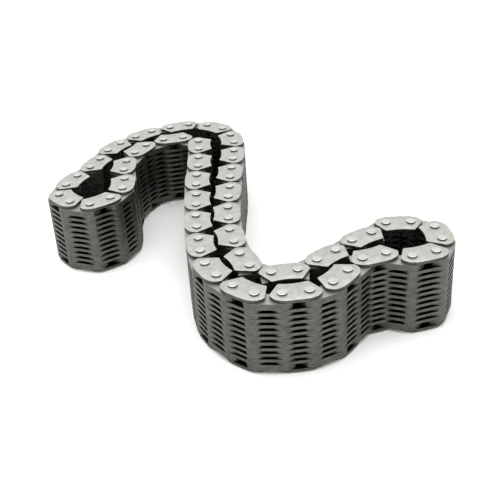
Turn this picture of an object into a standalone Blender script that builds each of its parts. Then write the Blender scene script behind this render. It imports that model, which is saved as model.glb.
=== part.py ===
# Endless silent chain (inverted-tooth chain). It stands on the lower ends of its pins,
# folded into a double strand that lies in a flat S, teeth inwards and plate backs outwards.
#
# 36 guide links and 36 tooth links take turns round the loop. A guide link is two headed
# pins with a guide plate and rows of toothed plates pressed on each end. A tooth link is
# the rows of toothed plates between them, which turn on the pins of the links beside it.
# Where the strands run straight, a guide link and the tooth link after it are one object.

import math

import bmesh
import bpy
import numpy as np
from mathutils import Matrix

# Chain sizes, metres
PITCH = 0.009525            # pin to pin
CHAIN_WIDTH = 0.0305        # over the two guide plates, without the pin heads
GUIDE_THICKNESS = 0.0012
GUIDE_LINK_ROWS = 10        # toothed plates across a guide link, half of them at each end
TOOTH_LINK_ROWS = 13        # toothed plates across a tooth link
ROW_GAP = 0.0003            # between plates that turn on each other
PLATE_GAP = 0.0006          # between the ends of two plates of one row

# Plate outline, metres and degrees
TOOTH_REACH = 0.0063        # pin line to tooth tips
TOOTH_BACK = 0.00505        # pin line to the backs of the toothed plates
BACK_OVERHANG = 0.0012      # how far that flat back runs on past a pin
GUIDE_BACK = 0.0048         # pin line to the back of a guide plate
FLANK_LEAN = 31.5           # lean of a tooth's outer flank
CROTCH_HEIGHT = 0.0014      # pin line to the crotch between two teeth
GUIDE_NOTCH = 0.0007        # depth of the hollow in a guide plate's inner edge
GUIDE_END_ANGLES = (-60, -30, 0)    # corners of a guide plate's round end, back to widest
TOOTH_END_ANGLES = (-30, 0)         # the same of a toothed plate, which has a back corner

# Pins, metres
PIN_RADIUS = 0.0015
PIN_CLEARANCE = 0.0003      # pin to bore wall at the tightest turn
HEAD_RADIUS = 0.0019
HEAD_RISE = 0.0007          # height of a head above its guide plate
PIN_SIDES = 6
HEAD_SIDES = 8

# How the loop lies: the bend in degrees at the two pins of each guide link, going round
# with the teeth on the left. Positive bends close towards the teeth.
LAY = (
    # hairpin at the left end and its inner side
    (47, 31), (54, 31), (27, 7), (-9, -17), (-11, -26),
    # inner side of the upper corner
    (-25, -46), (-51, -1),
    # inner strand
    (-1, -2), (2, 2), (-1, 0), (3, 0), (2, 5),
    # outer side of the lower corner, then the side towards the right end
    (15, 11), (13, 34), (11, 21), (24, -1), (-32, -38),
    # hairpin at the right end
    (36, 49), (30, 55), (28, 48), (-14, 12), (-5, 0),
    # inner side of the lower corner
    (-34, -42), (-32, -9),
    # outer strand
    (-3, -7), (-1, -3), (-2, 2), (-3, 1), (0, 3),
    # outer side of the upper corner, then back to the left end
    (10, 15), (30, 23), (28, 7), (17, 7), (11, 18), (-6, -8), (7, 13),
)
FIRST_HEADING = -53         # direction of the first link, degrees from +X
STRAND_GAP = 0.0004         # between the tooth tips of the two straight strands
LEFT_NECK_GAP = 0.0008      # between the tooth tips where the left hairpin closes
RIGHT_NECK_GAP = 0.0005     # between the tooth tips where the right hairpin closes
FACING_PINS = (             # a pin, the pin across from it and the gap between their teeth
    (18, 51, STRAND_GAP),
    (7, 68, LEFT_NECK_GAP),
    (31, 43, RIGHT_NECK_GAP),
)
CLOSING_ROUNDS = 8          # of the search for bends that close the loop

# Guide links whose next tooth link shares their object, counted from 1
STRAIGHT_LINKS = (7, 8, 9, 10, 11, 12, 24, 25, 26, 27, 28, 29)


# Plate outlines, first pin at the origin and second pin at +X, teeth towards +Y

def end_radius():
    """Radius of a plate's end about its pin, which leaves the gap to the next plate."""
    return (PITCH - PLATE_GAP) / 2


def half_outline(back, overhang, end_angles):
    """Right half of a plate, from its back round the end to its tooth tip."""
    radius = end_radius()
    points = [(PITCH / 2 + overhang, -back)]
    for angle in end_angles:
        turn = math.radians(angle)
        points.append((PITCH / 2 + radius * math.cos(turn), radius * math.sin(turn)))
    widest_x, widest_y = points[-1]
    lean = math.tan(math.radians(FLANK_LEAN))
    points.append((widest_x - (TOOTH_REACH - widest_y) * lean, TOOTH_REACH))
    return points


def whole_outline(right):
    """The right half of a plate and its mirror image with the crotch between, anticlockwise."""
    left = [(-x, y) for x, y in reversed(right)]
    return [(x + PITCH / 2, y) for x, y in right + [(0.0, CROTCH_HEIGHT)] + left]


def toothed_outline():
    return whole_outline(half_outline(TOOTH_BACK, BACK_OVERHANG, TOOTH_END_ANGLES))


def guide_outline():
    """A guide plate, as if it had the toothed plate's crotch, which its rows need."""
    return whole_outline(half_outline(GUIDE_BACK, 0.0, GUIDE_END_ANGLES))


# Heights of the rows, from the lower pin heads at z = 0

def row_heights():
    """Lowest and highest z of the lower guide plate, the lower rows and the tooth block."""
    inner = CHAIN_WIDTH - 2 * GUIDE_THICKNESS - 2 * ROW_GAP
    plate_thickness = inner / (GUIDE_LINK_ROWS + TOOTH_LINK_ROWS)
    guide_top = HEAD_RISE + GUIDE_THICKNESS
    rows_top = guide_top + plate_thickness * GUIDE_LINK_ROWS / 2
    block_low = rows_top + ROW_GAP
    block_high = block_low + plate_thickness * TOOTH_LINK_ROWS
    return {
        "guide": (HEAD_RISE, guide_top),
        "rows": (guide_top, rows_top),
        "tooth_block": (block_low, block_high),
        "whole": (0.0, CHAIN_WIDTH + 2 * HEAD_RISE),
    }


# How the loop lies

def loop_pins(bends):
    """Pin centres and link headings for the bends at the pins, and where the loop ends."""
    turns = np.radians(bends)
    turns[0] = math.radians(FIRST_HEADING)
    headings = np.cumsum(turns)
    steps = PITCH * np.stack([np.cos(headings), np.sin(headings)], axis=1)
    ends = np.cumsum(steps, axis=0)
    pins = np.vstack([[0.0, 0.0], ends[:-1]])
    return pins, headings, ends[-1]


def loop_faults(bends):
    """How far the loop is from closing, from one full turn and from each facing gap."""
    pins, headings, last_end = loop_pins(bends)
    faults = [last_end[0], last_end[1], math.radians(sum(bends) - 360) * PITCH]
    for near, far, gap in FACING_PINS:
        across = pins[far] - pins[near]
        along = headings[near]
        spacing = across[1] * math.cos(along) - across[0] * math.sin(along)
        faults.append(spacing - (2 * TOOTH_REACH + gap))
    return np.array(faults)


def closed_bends():
    """The hand-chosen bends, changed as little as closes the loop."""
    bends = np.array([bend for pair in LAY for bend in pair], dtype=float)
    nudge = 1e-4
    for _ in range(CLOSING_ROUNDS):
        faults = loop_faults(bends)
        slopes = np.zeros((len(faults), len(bends)))
        for k in range(len(bends)):
            moved = bends.copy()
            moved[k] += nudge
            slopes[:, k] = (loop_faults(moved) - faults) / nudge
        bends -= slopes.T @ np.linalg.solve(slopes @ slopes.T, faults)
    return bends


def link_places():
    """First pin and heading of each link, with the whole loop centred on the origin."""
    pins, headings, _ = loop_pins(closed_bends())
    corners = []
    for pin, heading in zip(pins, headings):
        for x, y in toothed_outline():
            corners.append((pin[0] + x * math.cos(heading) - y * math.sin(heading),
                            pin[1] + x * math.sin(heading) + y * math.cos(heading)))
    corners = np.array(corners)
    centre = (corners.min(axis=0) + corners.max(axis=0)) / 2
    return pins - centre, headings


# Solids

def raise_faces(bm, faces, distance):
    """Extrude copies of the faces along z, with walls back to the faces themselves."""
    raised = bmesh.ops.extrude_face_region(bm, geom=faces)
    lifted = [item for item in raised["geom"] if isinstance(item, bmesh.types.BMVert)]
    bmesh.ops.translate(bm, verts=lifted, vec=(0, 0, distance))


def prism(plan, low, high):
    """An upright solid over an outline."""
    bm = bmesh.new()
    face = bm.faces.new([bm.verts.new((x, y, low)) for x, y in plan])
    raise_faces(bm, [face], high - low)
    bmesh.ops.recalc_face_normals(bm, faces=bm.faces)
    return bm


def back_slots():
    """What the tooth block lacks at its back, in every row that other links' plates take.

    Each is the wedge between the ends of two such plates, made twice as deep to run out.
    """
    low, high = row_heights()["tooth_block"]
    thickness = (high - low) / TOOTH_LINK_ROWS
    root = end_radius() * math.sin(math.radians(TOOTH_END_ANGLES[0]))
    beyond = root - 2 * (TOOTH_BACK + root)
    half_mouth = 2 * (PITCH / 2 - BACK_OVERHANG)
    middle = PITCH / 2
    plan = [(middle, root), (middle - half_mouth, beyond), (middle + half_mouth, beyond)]
    return [prism(plan, low + row * thickness, low + (row + 1) * thickness)
            for row in range(1, TOOTH_LINK_ROWS, 2)]


def lower_plates():
    """A guide plate with its toothed rows on it, as they are pressed on the pins."""
    rows = row_heights()
    low, high = rows["guide"]
    tip = len(GUIDE_END_ANGLES) + 1
    bm = bmesh.new()
    corners = [bm.verts.new((x, y, high)) for x, y in guide_outline()]
    notch = bm.verts.new((PITCH / 2, TOOTH_REACH - GUIDE_NOTCH, high))
    backs = [bm.verts.new((x, -TOOTH_BACK, high))
             for x in (-BACK_OVERHANG, PITCH + BACK_OVERHANG)]
    plan = bm.faces.new(corners)
    between_teeth = bm.faces.new([corners[tip], notch, corners[tip + 2], corners[tip + 1]])
    behind_guide = bm.faces.new([corners[-3], *backs, *corners[2::-1], corners[-1], corners[-2]])
    raise_faces(bm, [plan, between_teeth], low - high)
    raise_faces(bm, [plan, behind_guide], rows["rows"][1] - high)
    bm.faces.remove(plan)
    bmesh.ops.recalc_face_normals(bm, faces=bm.faces)
    return bm


def turned_over(bm):
    """The same solid at the other end of the pins."""
    bmesh.ops.scale(bm, verts=bm.verts, vec=(1, 1, -1))
    bmesh.ops.translate(bm, verts=bm.verts, vec=(0, 0, row_heights()["whole"][1]))
    bmesh.ops.reverse_faces(bm, faces=bm.faces)
    return bm


def rod(x, radius, sides, low, high):
    """A straight round rod on the pin line, in flats."""
    bm = bmesh.new()
    middle = Matrix.Translation((x, 0, (low + high) / 2))
    bmesh.ops.create_cone(bm, cap_ends=True, segments=sides, radius1=radius,
                          radius2=radius, depth=high - low, matrix=middle)
    return bm


def scratch_object(bm):
    """A short-lived object that a Boolean can use."""
    mesh = bpy.data.meshes.new("scratch")
    bm.to_mesh(mesh)
    bm.free()
    obj = bpy.data.objects.new("scratch", mesh)
    bpy.context.collection.objects.link(obj)
    return obj


def combine(first, others, operation):
    """One solid from the first and the others, by Boolean, as a bmesh."""
    base = scratch_object(first)
    tools = [scratch_object(bm) for bm in others]
    for tool in tools:
        change = base.modifiers.new("combine", "BOOLEAN")
        change.operation = operation
        change.solver = "EXACT"
        change.object = tool
    bpy.context.view_layer.update()
    evaluated = base.evaluated_get(bpy.context.evaluated_depsgraph_get())
    result = bmesh.new()
    result.from_mesh(evaluated.to_mesh())
    evaluated.to_mesh_clear()
    for obj in tools + [base]:
        mesh = obj.data
        bpy.data.objects.remove(obj)
        bpy.data.meshes.remove(mesh)
    return result


def guide_link():
    """Two headed pins with a guide plate and toothed rows pressed on each end."""
    low_guide = sum(row_heights()["guide"]) / 2
    top = row_heights()["whole"][1]
    high_guide = top - low_guide
    pieces = [turned_over(lower_plates())]
    for x in (0.0, PITCH):
        pieces.append(rod(x, PIN_RADIUS, PIN_SIDES, low_guide, high_guide))
        pieces.append(rod(x, HEAD_RADIUS, HEAD_SIDES, 0.0, low_guide))
        pieces.append(rod(x, HEAD_RADIUS, HEAD_SIDES, high_guide, top))
    return combine(lower_plates(), pieces, "UNION")


def tooth_link(bored_at):
    """The rows of a tooth link, bored for the pins at these places."""
    low, high = row_heights()["tooth_block"]
    bore_radius = (PIN_RADIUS + PIN_CLEARANCE) / math.cos(math.pi / PIN_SIDES)
    bores = [rod(x, bore_radius, PIN_SIDES, low - ROW_GAP, high + ROW_GAP)
             for x in bored_at]
    block = prism(toothed_outline(), low, high)
    return combine(block, bores + back_slots(), "DIFFERENCE")


def link_pair(bend):
    """A guide link with the next tooth link held on its second pin."""
    tooth = tooth_link([PITCH])
    turn = Matrix.Rotation(bend, 4, "Z")
    bmesh.ops.transform(tooth, matrix=Matrix.Translation((PITCH, 0, 0)) @ turn,
                        verts=tooth.verts)
    return combine(guide_link(), [tooth], "UNION")


# Materials

def steel(name, colour, roughness):
    material = bpy.data.materials.new(name)
    material.use_nodes = True
    shader = material.node_tree.nodes["Principled BSDF"]
    shader.inputs["Base Color"].default_value = (*colour, 1.0)
    shader.inputs["Metallic"].default_value = 1.0
    shader.inputs["Roughness"].default_value = roughness
    return material


# Assembly

def mesh_of(bm, name, material):
    mesh = bpy.data.meshes.new(name)
    bm.to_mesh(mesh)
    bm.free()
    mesh.materials.append(material)
    return mesh


def place_link(name, mesh, pin, heading, carrier):
    """One link with its origin on the axis of its first pin."""
    obj = bpy.data.objects.new(name, mesh)
    bpy.context.collection.objects.link(obj)
    obj.parent = carrier
    obj.location = (pin[0], pin[1], 0.0)
    obj.rotation_euler = (0.0, 0.0, heading)
    return obj


def build_chain():
    for obj in list(bpy.data.objects):
        bpy.data.objects.remove(obj)
    carrier = bpy.data.objects.new("silent_chain", None)
    bpy.context.collection.objects.link(carrier)

    guide_steel = steel("guide_steel", (0.42, 0.41, 0.37), 0.38)
    tooth_steel = steel("tooth_steel", (0.20, 0.20, 0.18), 0.45)
    pair_steel = steel("pair_steel", (0.40, 0.39, 0.35), 0.38)

    guide_mesh = mesh_of(guide_link(), "guide_link", guide_steel)
    tooth_mesh = mesh_of(tooth_link([0.0, PITCH]), "tooth_link", tooth_steel)

    pins, headings = link_places()
    for number in range(1, len(LAY) + 1):
        first = 2 * (number - 1)
        second = first + 1
        if number in STRAIGHT_LINKS:
            name = "link_pair_%02d" % number
            pair = link_pair(headings[second] - headings[first])
            mesh = mesh_of(pair, name, pair_steel)
            place_link(name, mesh, pins[first], headings[first], carrier)
        else:
            place_link("guide_link_%02d" % number, guide_mesh, pins[first],
                       headings[first], carrier)
            place_link("tooth_link_%02d" % number, tooth_mesh, pins[second],
                       headings[second], carrier)


build_chain()
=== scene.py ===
import math

import bpy
from mathutils import Matrix, Vector


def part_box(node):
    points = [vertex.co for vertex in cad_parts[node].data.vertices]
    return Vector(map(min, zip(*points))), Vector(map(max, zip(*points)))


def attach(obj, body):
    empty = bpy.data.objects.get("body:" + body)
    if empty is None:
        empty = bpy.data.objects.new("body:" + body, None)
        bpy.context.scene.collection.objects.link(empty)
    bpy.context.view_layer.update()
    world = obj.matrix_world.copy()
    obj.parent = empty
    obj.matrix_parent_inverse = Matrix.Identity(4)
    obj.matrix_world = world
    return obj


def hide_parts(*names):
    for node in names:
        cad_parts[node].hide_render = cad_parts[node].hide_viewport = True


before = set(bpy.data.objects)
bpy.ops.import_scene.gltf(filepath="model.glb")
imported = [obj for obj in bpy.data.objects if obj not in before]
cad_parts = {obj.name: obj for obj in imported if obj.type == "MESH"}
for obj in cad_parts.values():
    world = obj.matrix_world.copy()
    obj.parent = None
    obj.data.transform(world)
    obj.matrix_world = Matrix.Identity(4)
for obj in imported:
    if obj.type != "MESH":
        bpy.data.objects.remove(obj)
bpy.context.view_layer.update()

linkCount = 36
pitch = 0.009525
cutMargin = 0.001               # how far a cutter reaches past what it cuts
mergeAngle = 1.0                # degrees; faces of a hull that turn less become one
flatFacing = 0.9                # a face whose normal is more upright than this lies flat
paintedShadeIndex = 2                   # place of the near-black painted shade for the slots among a plate's materials

# Heights of the stack, metres: heads, guide plates and the rows between them
stack = {
    "headRise": 0.0007,
    "guideThickness": 0.0012,
    "chainWidth": 0.0305,       # over the guide plates
    "rowSlit": 0.00005,         # seen between two plates that lie on each other
    "rows": "BBABABABABABABABABABABB",   # A turns with the guide plates, B between them
}


# Tools

def deselectAll():
    for obj in list(bpy.context.selected_objects):
        obj.select_set(False)


def takeNew(name):
    piece = bpy.context.object
    piece.name = name
    piece.data.name = name
    return piece


def makeActive(piece):
    deselectAll()
    piece.select_set(True)
    bpy.context.view_layer.objects.active = piece


def joinPieces(pieces):
    deselectAll()
    for piece in pieces:
        piece.select_set(True)
    bpy.context.view_layer.objects.active = pieces[0]
    bpy.ops.object.join()
    return pieces[0]


def bakePlace(piece):
    makeActive(piece)
    bpy.ops.object.transform_apply(location=True, rotation=True, scale=True)


def removePiece(piece):
    mesh = piece.data
    bpy.data.objects.remove(piece)
    bpy.data.meshes.remove(mesh)


def addRod(x, y, radius, sides, low, high, name):
    deselectAll()
    bpy.ops.mesh.primitive_cylinder_add(vertices=sides, radius=radius, depth=high - low,
                                        location=(x, y, (low + high) / 2))
    return takeNew(name)


def addBlock(lowX, highX, lowY, highY, low, high, name):
    deselectAll()
    bpy.ops.mesh.primitive_cube_add(size=1, location=((lowX + highX) / 2, (lowY + highY) / 2,
                                                      (low + high) / 2),
                                    scale=(highX - lowX, highY - lowY, high - low))
    return takeNew(name)


# One closed body stretched round the pieces
def wrapHull(pieces):
    for piece in pieces:
        bakePlace(piece)
    whole = joinPieces(pieces)
    makeActive(whole)
    bpy.ops.object.mode_set(mode="EDIT")
    bpy.ops.mesh.select_all(action="SELECT")
    bpy.ops.mesh.convex_hull()
    bpy.ops.mesh.select_all(action="SELECT")
    bpy.ops.mesh.dissolve_limited(angle_limit=math.radians(mergeAngle))
    bpy.ops.object.mode_set(mode="OBJECT")
    return whole


# Takes the cutter's space out of the piece
def cutAway(piece, cutter):
    makeActive(piece)
    change = piece.modifiers.new("cut", "BOOLEAN")
    change.operation = "DIFFERENCE"
    change.solver = "EXACT"
    change.object = cutter
    bpy.ops.object.modifier_apply(modifier=change.name)
    removePiece(cutter)


# Cuts the piece off flat at the spot and closes it
def trimSide(piece, spot, outwards):
    makeActive(piece)
    bpy.ops.object.mode_set(mode="EDIT")
    bpy.ops.mesh.select_all(action="SELECT")
    bpy.ops.mesh.bisect(plane_co=spot, plane_no=outwards, use_fill=True, clear_outer=True)
    bpy.ops.object.mode_set(mode="OBJECT")


def smoothByAngle(piece, degrees):
    makeActive(piece)
    bpy.ops.object.shade_smooth_by_angle(angle=math.radians(degrees))


# Pins, metres and degrees
pin = {
    "radius": 0.0015,
    "headRadius": 0.00182,
    "shankSides": 20,
    "headSides": 24,
    "collarHeight": 0.00055,
    "domeRings": [(0.00012, 0.00006), (0.00030, 0.00005), (0.00050, 0.00003), (0.00040, 0.00001)],
    "sideFacing": 0.3,          # a face whose normal is less upright is the head's side, which gets painted shade
    "smoothAngle": 40,
}


# A pin from end to end, with a collar and a dome on each
def headedPin(low, high):
    reach = stack["headRise"]
    shank = addRod(0.0, 0.0, pin["radius"], pin["shankSides"], low + reach, high - reach, "pin")
    parts = [shank]
    collar = pin["collarHeight"]
    for up in (1, -1):
        base = high - reach if up > 0 else low + reach - collar
        head = addRod(0.0, 0.0, pin["headRadius"], pin["headSides"], base, base + collar, "head")
        bakePlace(head)
        bpy.ops.object.mode_set(mode="EDIT")
        bpy.ops.mesh.select_all(action="DESELECT")
        bpy.ops.mesh.select_mode(type="FACE")
        bpy.ops.object.mode_set(mode="OBJECT")
        for face in head.data.polygons:
            face.select = face.normal.z * up > flatFacing
        bpy.ops.object.mode_set(mode="EDIT")
        for inwards, outwards in pin["domeRings"]:
            bpy.ops.mesh.inset(thickness=inwards, depth=outwards)
        bpy.ops.object.mode_set(mode="OBJECT")
        parts.append(head)
    bakePlace(shank)
    return joinPieces(parts)


# Plates, first pin at the origin and second pin at +X, teeth towards +Y; metres and degrees
plate = {
    "endGap": 0.0006,           # between two plates of one row
    "toothReach": 0.0063,
    "flankLean": 31.5,
    "tipWidth": 0.0002,
    "crotchHeight": 0.0014,
    "crotchRadius": 0.0008,
    "toothBack": 0.00505,
    "backSweep": 45,            # how far a toothed plate's back runs on round its pins
    "backStep": 15,
    "backCorner": 0.00015,      # radius where that arc ends
    "guideBack": 0.00478,
    "backCrown": 0.0002,        # how far a guide plate's back bows out
    "crownFrom": 0.28,          # share of the pitch where that bow starts
    "hollowDepth": 0.0007,      # in a guide plate's inner edge
    "innerShave": 0.00012,      # the guide plates' inner edge is this much lower
    "boreSlack": 0.00004,
    "discSides": 36,
    "boreSides": 12,
    "cornerSides": 8,
    "crotchSides": 16,
    "hollowSides": 128,
    "rimBevel": 0.00012,
    "rimSegments": 2,
    "rimAngle": 60,
    "cornerBevel": 0.0006,
    "cornerSegments": 3,
    "cornerReach": 0.0003,      # how near a corner's two edges lie to where it was drawn
    "smoothAngle": 30,
}

# Where the chain bends backwards: a shorter sweep for the guide or tooth link's plates
shortSweeps = {
    "A": {5: 30, 6: 15, 7: 15, 23: 30, 24: 30},
    "B": {5: 30, 6: 30, 7: 30, 16: 30, 17: 30, 22: 30, 23: 30},
}


def endRadius():
    return (pitch - plate["endGap"]) / 2


# From the plate's middle to the outer corner of a tooth tip
def tipSpan():
    lean = math.radians(plate["flankLean"])
    return pitch / 2 + endRadius() - plate["toothReach"] * math.tan(lean)


# A plate with its round ends and straight flanks, before its tooth side is cut
def plateBody(name, back, sweep, crown, thickness):
    radius = endRadius()
    middle = pitch / 2
    tip = tipSpan()
    parts = [
        addRod(0.0, 0.0, radius, plate["discSides"], 0.0, thickness, name),
        addRod(pitch, 0.0, radius, plate["discSides"], 0.0, thickness, name),
        addBlock(middle - tip, middle + tip, 0.0, plate["toothReach"], 0.0, thickness, name),
    ]
    corner = plate["backCorner"]
    for k in range(math.ceil(sweep / plate["backStep"]) + 1):
        turn = math.radians(min(k * plate["backStep"], sweep))
        past = (back - corner) * math.sin(turn)
        y = (corner - back) * math.cos(turn)
        for x in (-past, pitch + past):
            parts.append(addRod(x, y, corner, plate["cornerSides"], 0.0, thickness, name))
    if crown:
        start = pitch * plate["crownFrom"]
        parts.append(addBlock(start, pitch - start, -back - crown, 0.0, 0.0, thickness, name))
    body = wrapHull(parts)
    lean = math.radians(plate["flankLean"])
    out, up = math.cos(lean), math.sin(lean)
    trimSide(body, (pitch + radius, 0.0, thickness / 2), (out, up, 0))
    trimSide(body, (-radius, 0.0, thickness / 2), (-out, up, 0))
    return body


def cutBores(body, thickness):
    radius = pin["radius"] + plate["boreSlack"]
    for x in (0.0, pitch):
        cutAway(body, addRod(x, 0.0, radius, plate["boreSides"], -cutMargin,
                             thickness + cutMargin, "bore"))


def toothedPlate(name, sweep, thickness):
    body = plateBody(name, plate["toothBack"], sweep, 0.0, thickness)
    reach = plate["toothReach"]
    middle = pitch / 2
    inner = tipSpan() - plate["tipWidth"]
    root = plate["crotchRadius"]
    low, high = -cutMargin, thickness + cutMargin
    crotch = wrapHull([
        addRod(middle, plate["crotchHeight"] + root, root, plate["crotchSides"], low, high,
               "crotch"),
        addBlock(middle - inner, middle + inner, reach, reach + cutMargin, low, high, "crotch"),
    ])
    cutAway(body, crotch)
    cutBores(body, thickness)
    return body


def guidePlate(thickness):
    body = plateBody("guidePlate", plate["guideBack"], 0.0, plate["backCrown"], thickness)
    tip = tipSpan()
    depth = plate["hollowDepth"]
    bow = (tip * tip + depth * depth) / (2 * depth)
    floorLine = plate["toothReach"] - depth - plate["innerShave"]
    cutAway(body, addRod(pitch / 2, floorLine + bow, bow, plate["hollowSides"], -cutMargin,
                         thickness + cutMargin, "hollow"))
    bevelCorners(body, tip, plate["toothReach"], thickness)
    bevelRims(body)
    cutBores(body, thickness)
    return body


# Rounds the two corners of a guide plate's inner edge
def bevelCorners(body, tip, reach, thickness):
    makeActive(body)
    bpy.ops.object.mode_set(mode="EDIT")
    bpy.ops.mesh.select_all(action="DESELECT")
    bpy.ops.mesh.select_mode(type="EDGE")
    bpy.ops.object.mode_set(mode="OBJECT")
    near = plate["cornerReach"]
    for edge in body.data.edges:
        ends = [body.data.vertices[k].co for k in edge.vertices]
        upright = abs(ends[0].z - ends[1].z) > thickness / 2
        beside = abs(abs(ends[0].x - pitch / 2) - tip) < near
        edge.select = upright and beside and ends[0].y > reach - near
    bpy.ops.object.mode_set(mode="EDIT")
    bpy.ops.mesh.bevel(offset=plate["cornerBevel"], segments=plate["cornerSegments"],
                       affect="EDGES")
    bpy.ops.object.mode_set(mode="OBJECT")


# Breaks the sharp edges round a guide plate's two faces
def bevelRims(body):
    makeActive(body)
    change = body.modifiers.new("rim", "BEVEL")
    change.width = plate["rimBevel"]
    change.segments = plate["rimSegments"]
    change.limit_method = "ANGLE"
    change.angle_limit = math.radians(plate["rimAngle"])
    bpy.ops.object.modifier_apply(modifier=change.name)


# Steel of each kind of face: darker and lighter tint, roughness from and to, grain, its strength
steelLooks = {
    "guideFace": ((0.50, 0.505, 0.465), (0.63, 0.635, 0.59), (0.42, 0.50), 2600.0, 0.12),
    # the plates' side faces: the same steel painted far darker than on the flat faces, as painted
    # shade
    "guideEdgePaintedShade": ((0.065, 0.065, 0.058), (0.105, 0.105, 0.095), (0.42, 0.55), 2200.0, 0.2),
    "toothFace": ((0.40, 0.40, 0.37), (0.50, 0.50, 0.47), (0.42, 0.52), 2600.0, 0.15),
    "toothEdgePaintedShade": ((0.092, 0.093, 0.080), (0.145, 0.147, 0.128), (0.45, 0.60), 1800.0, 0.3),
    # near black: painted shade on the faces that lie between the rows, inside the slots
    "slotPaintedShade": ((0.022, 0.022, 0.019), (0.035, 0.035, 0.030), (0.35, 0.45), 2600.0, 0.1),
    # heads: the top painted light and the side painted dark, as lit from above: painted light and
    # painted shade
    "headTopPaintedLight": ((0.66, 0.66, 0.63), (0.80, 0.80, 0.77), (0.28, 0.38), 1500.0, 0.15),
    "headSidePaintedShade": ((0.07, 0.07, 0.062), (0.12, 0.12, 0.106), (0.40, 0.50), 1500.0, 0.15),
}
mottleLook = {
    "scale": 420.0,
    "detail": 3.0,
    "darkAt": 0.3,              # darkest where the noise is below this
    "lightAt": 0.7,             # and lightest where it is above this
    "grainDetail": 2.0,
    "grainHeight": 0.0001,
}


# Tumbled steel: a soft mottle in colour and gloss, and a faint grain
def mottledSteel(name, dark, light, rough, grain, strength):
    material = bpy.data.materials.new(name)
    material.use_nodes = True
    tree = material.node_tree
    shader = tree.nodes["Principled BSDF"]
    shader.inputs["Metallic"].default_value = 1.0
    place = tree.nodes.new("ShaderNodeTexCoord")
    mottle = tree.nodes.new("ShaderNodeTexNoise")
    mottle.inputs["Scale"].default_value = mottleLook["scale"]
    mottle.inputs["Detail"].default_value = mottleLook["detail"]
    tree.links.new(place.outputs["Object"], mottle.inputs["Vector"])
    tint = tree.nodes.new("ShaderNodeValToRGB")
    first, last = tint.color_ramp.elements
    first.position = mottleLook["darkAt"]
    first.color = (*dark, 1.0)
    last.position = mottleLook["lightAt"]
    last.color = (*light, 1.0)
    tree.links.new(mottle.outputs["Fac"], tint.inputs["Fac"])
    tree.links.new(tint.outputs["Color"], shader.inputs["Base Color"])
    gloss = tree.nodes.new("ShaderNodeMapRange")
    gloss.inputs["To Min"].default_value = rough[0]
    gloss.inputs["To Max"].default_value = rough[1]
    tree.links.new(mottle.outputs["Fac"], gloss.inputs["Value"])
    tree.links.new(gloss.outputs["Result"], shader.inputs["Roughness"])
    fine = tree.nodes.new("ShaderNodeTexNoise")
    fine.inputs["Scale"].default_value = grain
    fine.inputs["Detail"].default_value = mottleLook["grainDetail"]
    tree.links.new(place.outputs["Object"], fine.inputs["Vector"])
    bump = tree.nodes.new("ShaderNodeBump")
    bump.inputs["Strength"].default_value = strength
    bump.inputs["Distance"].default_value = mottleLook["grainHeight"]
    tree.links.new(fine.outputs["Fac"], bump.inputs["Height"])
    tree.links.new(bump.outputs["Normal"], shader.inputs["Normal"])
    return material


steel = {name: mottledSteel(name, *look) for name, look in steelLooks.items()}


# One steel on the plate's two faces, another, painted darker as shade, on its cut edge, and a
# third, near-black painted shade, for the faces that lie inside
def paintPlate(piece, face, edge):
    piece.data.materials.clear()
    for kind in (face, edge, "slotPaintedShade"):
        piece.data.materials.append(steel[kind])
    for polygon in piece.data.polygons:
        # upright faces take the steel painted darker as shade
        polygon.material_index = 0 if abs(polygon.normal.z) > flatFacing else 1


# Patterns of one link each

rowsLow = stack["headRise"] + stack["guideThickness"]
rowCount = len(stack["rows"])
rowStep = (stack["chainWidth"] - 2 * stack["guideThickness"]) / rowCount
rowThickness = rowStep - stack["rowSlit"]

sweeps = {plate["backSweep"]}
for shorter in shortSweeps.values():
    sweeps.update(shorter.values())
platePatterns = {}
for sweep in sorted(sweeps):
    pattern = toothedPlate("plate%d" % sweep, sweep, rowThickness)
    paintPlate(pattern, "toothFace", "toothEdgePaintedShade")
    smoothByAngle(pattern, plate["smoothAngle"])
    platePatterns[sweep] = pattern
    print("plate with", sweep, "degrees:", len(pattern.data.polygons), "faces")

guidePattern = guidePlate(stack["guideThickness"])
paintPlate(guidePattern, "guideFace", "guideEdgePaintedShade")
# the guide plate's face against the rows gets the near-black painted shade
for polygon in guidePattern.data.polygons:
    if polygon.normal.z < -flatFacing:
        polygon.material_index = paintedShadeIndex
smoothByAngle(guidePattern, plate["smoothAngle"])

pinPattern = headedPin(0.0, stack["chainWidth"] + 2 * stack["headRise"])
# the head's top gets painted light and its upright side painted shade
pinPattern.data.materials.append(steel["headTopPaintedLight"])
pinPattern.data.materials.append(steel["headSidePaintedShade"])
for polygon in pinPattern.data.polygons:
    polygon.material_index = 1 if abs(polygon.normal.z) < pin["sideFacing"] else 0
smoothByAngle(pinPattern, pin["smoothAngle"])
print("patterns made")


# A copy with its own mesh, which holds its place; a mirrored one keeps its faces outwards
def copyOf(pattern, name, matrix):
    mesh = pattern.data.copy()
    mesh.transform(matrix)
    if matrix.is_negative:
        mesh.flip_normals()
    mesh.name = name
    piece = bpy.data.objects.new(name, mesh)
    bpy.context.scene.collection.objects.link(piece)
    return piece


# The plates of one kind of link at their rows' heights, with near-black painted shade on the faces
# between the outermost ones
def stackOf(letter, sweep, name):
    layers = []
    for row, kind in enumerate(stack["rows"]):
        if kind == letter:
            height = rowsLow + row * rowStep + stack["rowSlit"] / 2
            layers.append(copyOf(platePatterns[sweep], name, Matrix.Translation((0, 0, height))))
    whole = joinPieces(layers)
    lowest = rowsLow + rowStep / 2
    highest = rowsLow + (rowCount - 0.5) * rowStep
    # faces between the rows get the near-black painted shade
    for polygon in whole.data.polygons:
        inside = lowest < polygon.center.z < highest
        if abs(polygon.normal.z) > flatFacing and inside:
            polygon.material_index = paintedShadeIndex
    return whole


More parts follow.
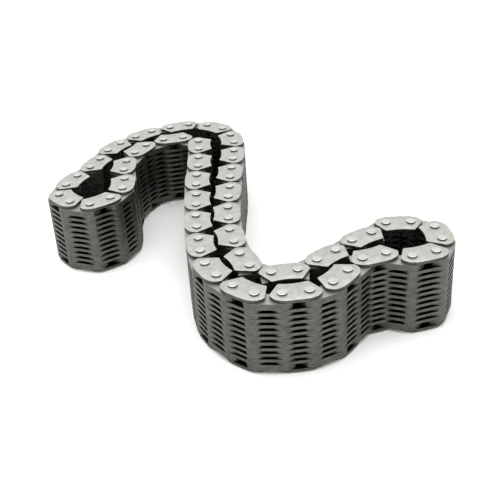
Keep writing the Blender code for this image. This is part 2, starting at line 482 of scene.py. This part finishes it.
rowPatterns = {}
for letter, shorter in shortSweeps.items():
    for sweep in sorted({plate["backSweep"], *shorter.values()}):
        rowPatterns[letter, sweep] = stackOf(letter, sweep, "rows%s%d" % (letter, sweep))


def rowsOf(letter, number):
    return rowPatterns[letter, shortSweeps[letter].get(number, plate["backSweep"])]


# Where the links lie, as the CAD nodes say

headTopDepth = 0.00001          # points this near a node's top belong to its pins' upper heads


# Plan places of the two pins of a guide link, from its upper heads
def headCentres(node):
    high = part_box(node)[1]
    spots = {(round(v.co.x, 6), round(v.co.y, 6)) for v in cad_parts[node].data.vertices
             if v.co.z > high.z - headTopDepth}
    start = Vector(sorted(spots)[0])
    near = [Vector(spot) for spot in spots if (Vector(spot) - start).length < pitch / 2]
    far = [Vector(spot) for spot in spots if (Vector(spot) - start).length >= pitch / 2]
    return [sum(near, Vector((0, 0))) / len(near), sum(far, Vector((0, 0))) / len(far)]


def nodeOf(kind, number):
    pair = "link_pair_%02d" % number
    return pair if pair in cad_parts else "%s_link_%02d" % (kind, number)


# All pins round the loop, two for each guide link
def orderedPins():
    found = [headCentres(nodeOf("guide", number)) for number in range(1, linkCount + 1)]
    ordered = []
    for k, (a, b) in enumerate(found):
        following = found[(k + 1) % linkCount]
        fromA = min((a - c).length for c in following)
        fromB = min((b - c).length for c in following)
        ordered += [a, b] if fromB < fromA else [b, a]
    return ordered


def linkMatrix(first, second):
    along = second - first
    turn = Matrix.Rotation(math.atan2(along.y, along.x), 4, "Z")
    return Matrix.Translation((first.x, first.y, 0.0)) @ turn


def ridePiece(piece, node):
    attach(piece, node)
    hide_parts(node)


pins = orderedPins()
halfThick = stack["guideThickness"] / 2
upperGuide = Matrix.Translation((0, 0, stack["headRise"] + stack["chainWidth"] - 2 * halfThick))
lowerGuide = (Matrix.Translation((0, 0, stack["headRise"] + halfThick))
              @ Matrix.Scale(-1, 4, (0, 0, 1)) @ Matrix.Translation((0, 0, -halfThick)))
for number in range(1, linkCount + 1):
    first = pins[2 * number - 2]
    second = pins[2 * number - 1]
    third = pins[2 * number % len(pins)]
    place = linkMatrix(first, second)
    node = nodeOf("guide", number)
    ridePiece(copyOf(guidePattern, "upperGuidePlate%02d" % number, place @ upperGuide),
              node)
    ridePiece(copyOf(guidePattern, "lowerGuidePlate%02d" % number, place @ lowerGuide),
              node)
    ridePiece(copyOf(rowsOf("A", number), "guideLinkRows%02d" % number, place),
              node)
    for end, x in (("A", 0.0), ("B", pitch)):
        ridePiece(copyOf(pinPattern, "pin%02d%s" % (number, end),
                         place @ Matrix.Translation((x, 0, 0))), node)
    ridePiece(copyOf(rowsOf("B", number), "toothLinkRows%02d" % number,
                     linkMatrix(second, third)), nodeOf("tooth", number))
for pattern in (*platePatterns.values(), *rowPatterns.values(), guidePattern, pinPattern):
    removePiece(pattern)
print("links placed")


# Floor, backdrop and light; metres and watts
studio = {
    "floorSize": 6.0,
    "floorColour": (0.92, 0.92, 0.925),
    "floorRoughness": 0.9,
    "floorSpecular": 0.1,
    "floorWhite": 1.35,         # how bright the floor's own shade looks
    "topLight": 8.0,
    "topSpot": (0.0, -0.25, 1.0),
    "topSize": 1.2,
    "sideLight": 1.2,
    "sideSpot": (-0.9, 0.1, 0.6),
    "sideSize": 0.6,
    "roomFrom": (-0.8, (0.10, 0.10, 0.10)),   # the room's shade in front of the chain
    "roomTo": (0.6, (1.0, 1.0, 0.99)),        # and behind it
}


# 1 for the rays that show the background: straight ones, and those off or through a surface
def backgroundRays(tree):
    rays = tree.nodes.new("ShaderNodeLightPath")
    shown = rays.outputs["Is Camera Ray"]
    for kind in ("Is Glossy Ray", "Is Transmission Ray"):
        either = tree.nodes.new("ShaderNodeMath")
        either.operation = "MAXIMUM"
        tree.links.new(shown, either.inputs[0])
        tree.links.new(rays.outputs[kind], either.inputs[1])
        shown = either.outputs["Value"]
    return shown


# Pale paper that looks white, and keeps the shadow
def paperMaterial():
    paper = bpy.data.materials.new("paper")
    paper.use_nodes = True
    tree = paper.node_tree
    shader = tree.nodes["Principled BSDF"]
    shader.inputs["Base Color"].default_value = (*studio["floorColour"], 1.0)
    shader.inputs["Roughness"].default_value = studio["floorRoughness"]
    shader.inputs["Specular IOR Level"].default_value = studio["floorSpecular"]
    white = tree.nodes.new("ShaderNodeBsdfDiffuse")
    white.inputs["Color"].default_value = (*[studio["floorWhite"]] * 3, 1.0)
    blend = tree.nodes.new("ShaderNodeMixShader")
    tree.links.new(backgroundRays(tree), blend.inputs["Fac"])
    tree.links.new(shader.outputs["BSDF"], blend.inputs[1])
    tree.links.new(white.outputs["BSDF"], blend.inputs[2])
    tree.links.new(blend.outputs["Shader"], tree.nodes["Material Output"].inputs["Surface"])
    return paper


def softbox(name, spot, size, watts):
    light = bpy.data.lights.new(name, "AREA")
    light.shape = "RECTANGLE"
    light.size = size
    light.size_y = size
    light.energy = watts
    lamp = bpy.data.objects.new(name, light)
    bpy.context.scene.collection.objects.link(lamp)
    lamp.location = spot
    lamp.rotation_euler = (-Vector(spot)).to_track_quat("-Z", "Y").to_euler()


# White where it is seen or mirrored; for other rays a room that is brighter behind the chain
def studioWorld():
    world = bpy.data.worlds.new("studio")
    world.use_nodes = True
    sky = world.node_tree
    for node in list(sky.nodes):
        sky.nodes.remove(node)
    output = sky.nodes.new("ShaderNodeOutputWorld")
    choose = sky.nodes.new("ShaderNodeMixShader")
    white = sky.nodes.new("ShaderNodeBackground")
    white.inputs["Color"].default_value = (1.0, 1.0, 1.0, 1.0)
    room = sky.nodes.new("ShaderNodeBackground")
    facing = sky.nodes.new("ShaderNodeTexCoord")
    split = sky.nodes.new("ShaderNodeSeparateXYZ")
    spread = sky.nodes.new("ShaderNodeMapRange")
    fade = sky.nodes.new("ShaderNodeValToRGB")
    ends = (studio["roomFrom"], studio["roomTo"])
    for (depth, shade), side, stop in zip(ends, ("From Min", "From Max"), fade.color_ramp.elements):
        spread.inputs[side].default_value = depth
        stop.color = (*shade, 1.0)
    sky.links.new(facing.outputs["Generated"], split.inputs["Vector"])
    sky.links.new(split.outputs["Y"], spread.inputs["Value"])
    sky.links.new(spread.outputs["Result"], fade.inputs["Fac"])
    sky.links.new(fade.outputs["Color"], room.inputs["Color"])
    sky.links.new(backgroundRays(sky), choose.inputs["Fac"])
    sky.links.new(room.outputs["Background"], choose.inputs[1])
    sky.links.new(white.outputs["Background"], choose.inputs[2])
    sky.links.new(choose.outputs["Shader"], output.inputs["Surface"])
    return world


deselectAll()
bpy.ops.mesh.primitive_plane_add(size=studio["floorSize"], location=(0, 0, 0))
floor = takeNew("floor")
floor.data.materials.append(paperMaterial())
softbox("topBox", studio["topSpot"], studio["topSize"], studio["topLight"])
softbox("sideBox", studio["sideSpot"], studio["sideSize"], studio["sideLight"])
bpy.context.scene.world = studioWorld()
bpy.context.scene.view_settings.view_transform = "Standard"
print("studio ready")


# Camera at the photo's angle, metres, degrees and millimetres of lens
camera = {
    "spot": (0.002652, -0.326486, 0.192842),
    "turn": (59.743, 3.015, -2.085),
    "lens": 62.21,
    "sensorWidth": 36.0,
    "clipStart": 0.01,
    "clipEnd": 20.0,
}
eye = bpy.data.cameras.new("photoCamera")
eye.sensor_width = camera["sensorWidth"]
eye.lens = camera["lens"]
eye.clip_start = camera["clipStart"]
eye.clip_end = camera["clipEnd"]
viewer = bpy.data.objects.new("photoCamera", eye)
bpy.context.scene.collection.objects.link(viewer)
viewer.location = camera["spot"]
viewer.rotation_euler = [math.radians(angle) for angle in camera["turn"]]
bpy.context.scene.camera = viewer
print("camera set")
